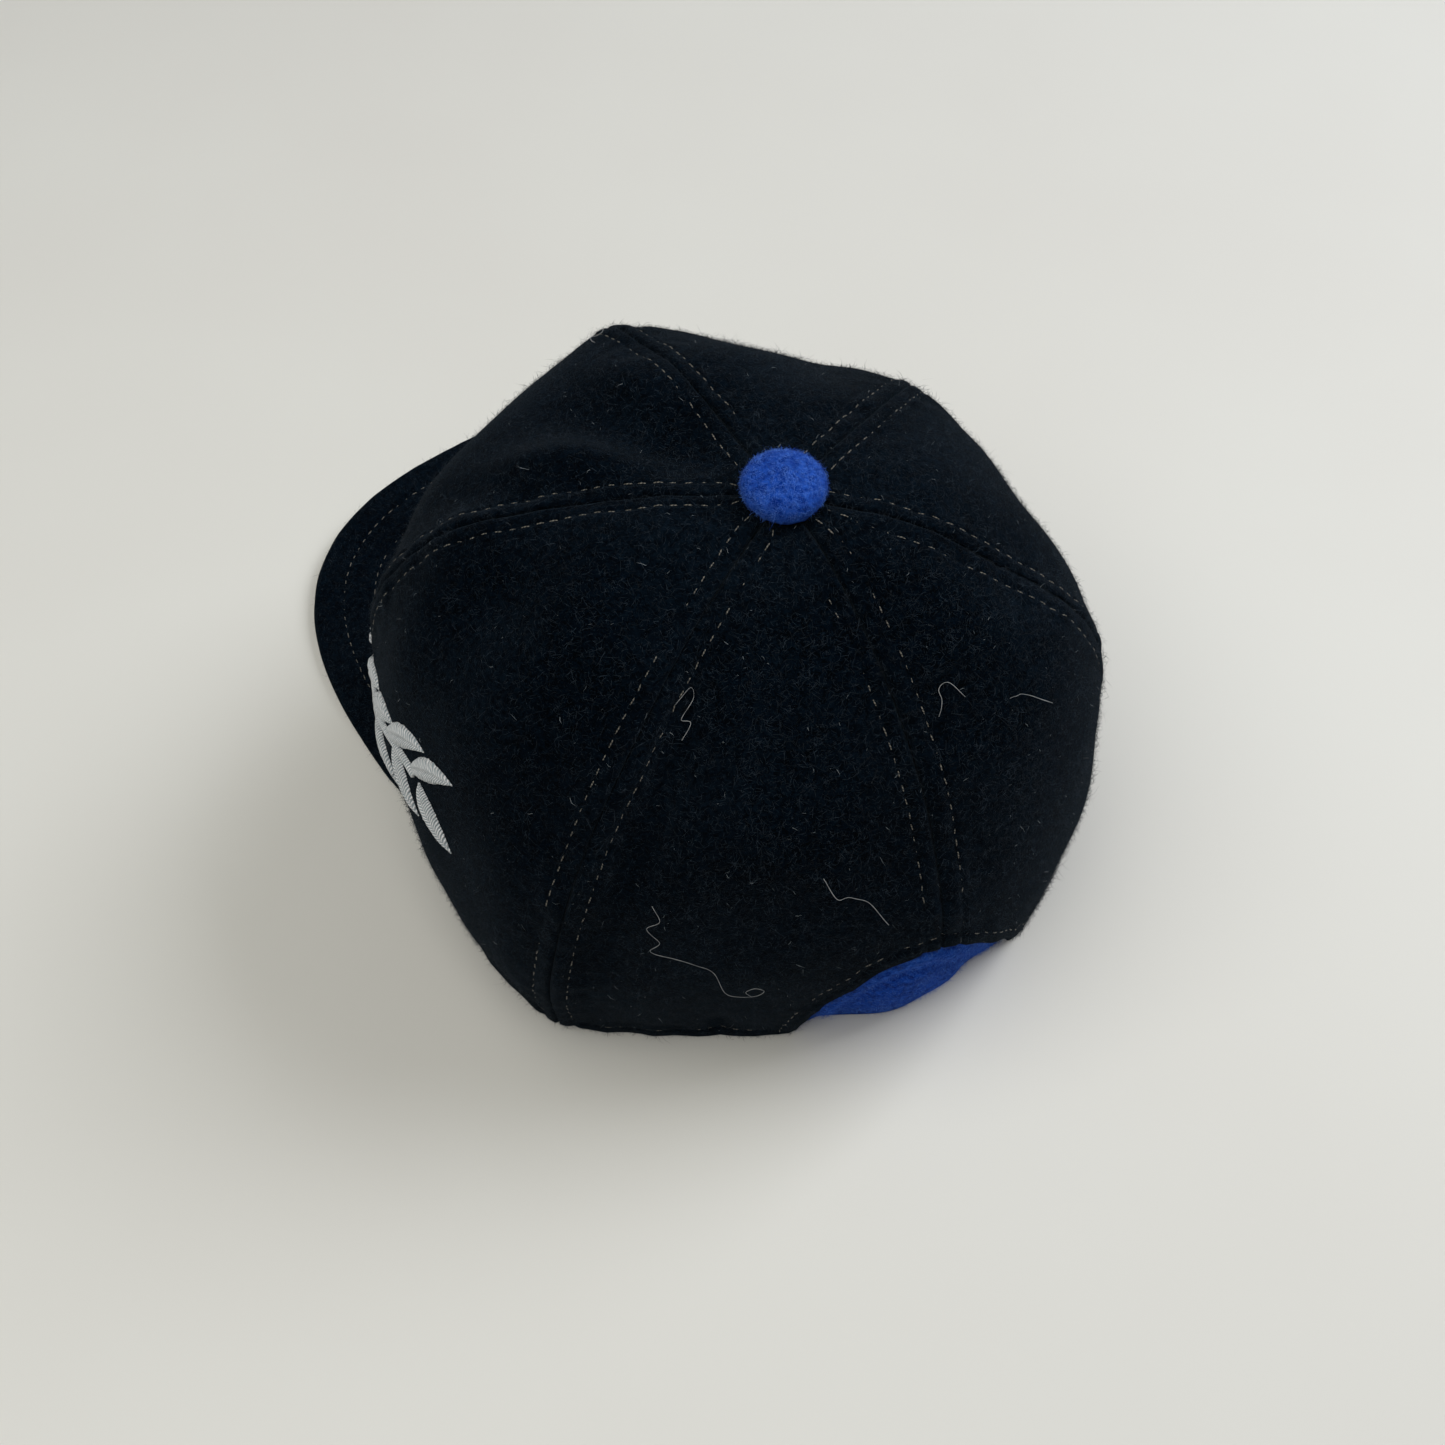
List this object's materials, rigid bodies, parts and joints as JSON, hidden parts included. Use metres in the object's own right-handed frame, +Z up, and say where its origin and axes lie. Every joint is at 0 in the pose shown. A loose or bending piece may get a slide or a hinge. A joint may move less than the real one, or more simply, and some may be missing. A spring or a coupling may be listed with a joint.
{
  "type": "wool cap",
  "caption": "Wool cap with panelled crown, curved peak, covered top button and a contrasting piece filling the arch at the back seam.",
  "frame": {"origin": "on the table, under the middle of the cap's box", "axes": "+Z up out of the crown, -Y the way the peak points, +X the wearer's left"},
  "size_m": [0.1818, 0.257, 0.1384],
  "materials": {
    "black_wool": "brushed black wool twill, matt, with short loose fibres",
    "blue_wool": "brushed royal blue wool, matt, with short loose fibres"
  },
  "bodies": {
    "root": {"panel_front_left": "black_wool", "panel_front_right": "black_wool", "panel_side_left": "black_wool", "panel_side_right": "black_wool", "panel_back_left": "black_wool", "panel_back_right": "black_wool", "back_insert": "blue_wool", "visor": "black_wool", "button": "blue_wool"}
  },
  "joints": []
}
